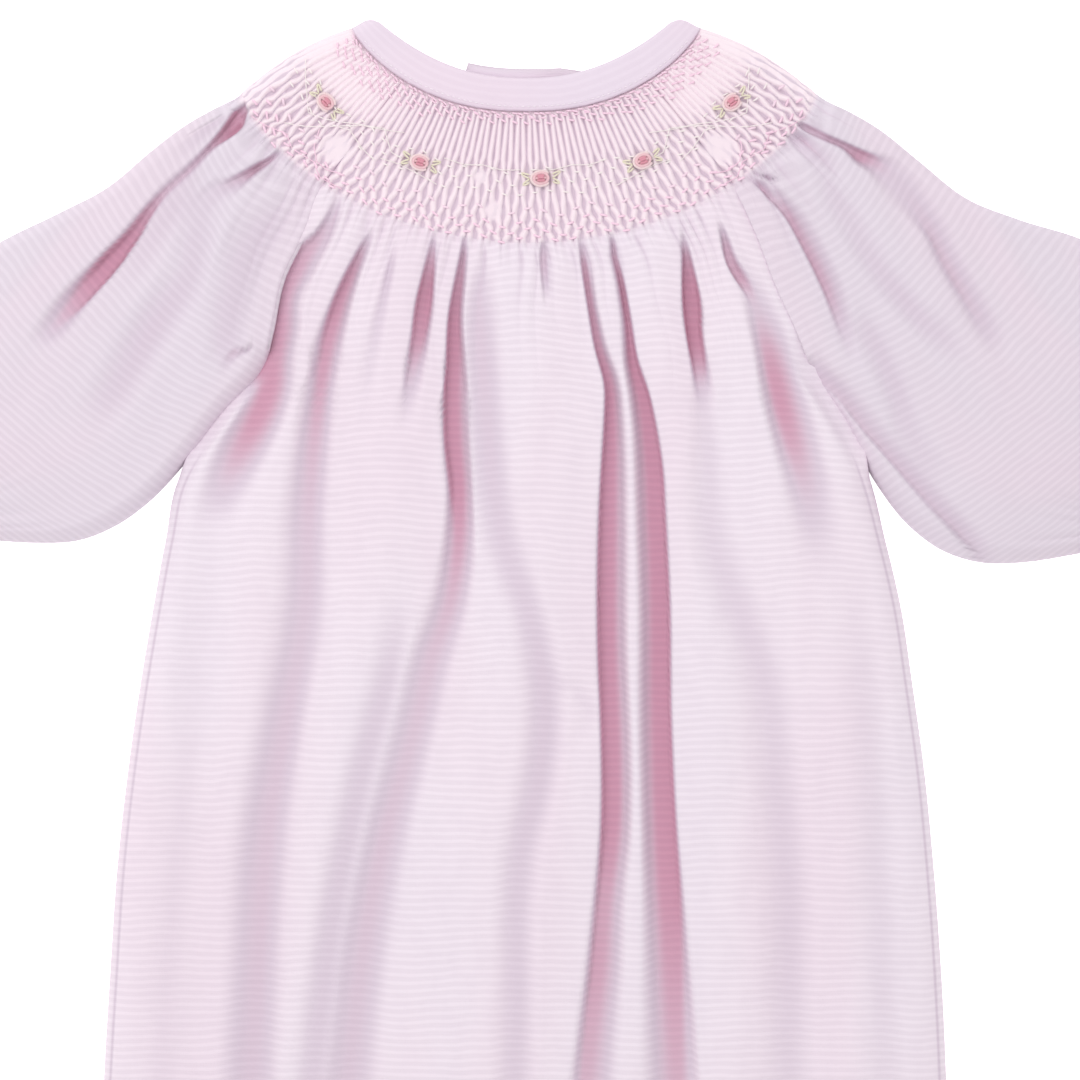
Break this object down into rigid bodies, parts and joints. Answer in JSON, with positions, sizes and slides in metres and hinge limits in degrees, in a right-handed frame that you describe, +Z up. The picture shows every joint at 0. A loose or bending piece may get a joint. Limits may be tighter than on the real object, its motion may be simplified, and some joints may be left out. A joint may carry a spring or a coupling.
{
  "type": "smocked baby dress",
  "caption": "Baby's smocked dress laid flat: pleated ring yoke, gathered skirt, full raglan sleeves, neckband and cuff bands.",
  "frame": {"origin": "on the surface that the dress lies on, under the middle of its outline", "axes": "+X across the dress towards the sleeve at the viewer's right, +Y from the hem towards the neck, +Z up off the surface"},
  "size_m": [0.4874, 0.4597, 0.0128],
  "materials": {
    "striped_knit": "fine pink and white striped cotton knit, matt",
    "band_knit": "the same knit bound double, topstitched",
    "rose_thread": "stranded cotton wound into bullion coils"
  },
  "bodies": {
    "root": {"front": "striped_knit", "back": "striped_knit", "sleeve_left": "striped_knit", "sleeve_right": "striped_knit", "neckband": "band_knit", "cuff_left": "band_knit", "cuff_right": "band_knit", "rose_1": "rose_thread", "rose_2": "rose_thread", "rose_3": "rose_thread", "rose_4": "rose_thread", "rose_5": "rose_thread"}
  },
  "joints": []
}
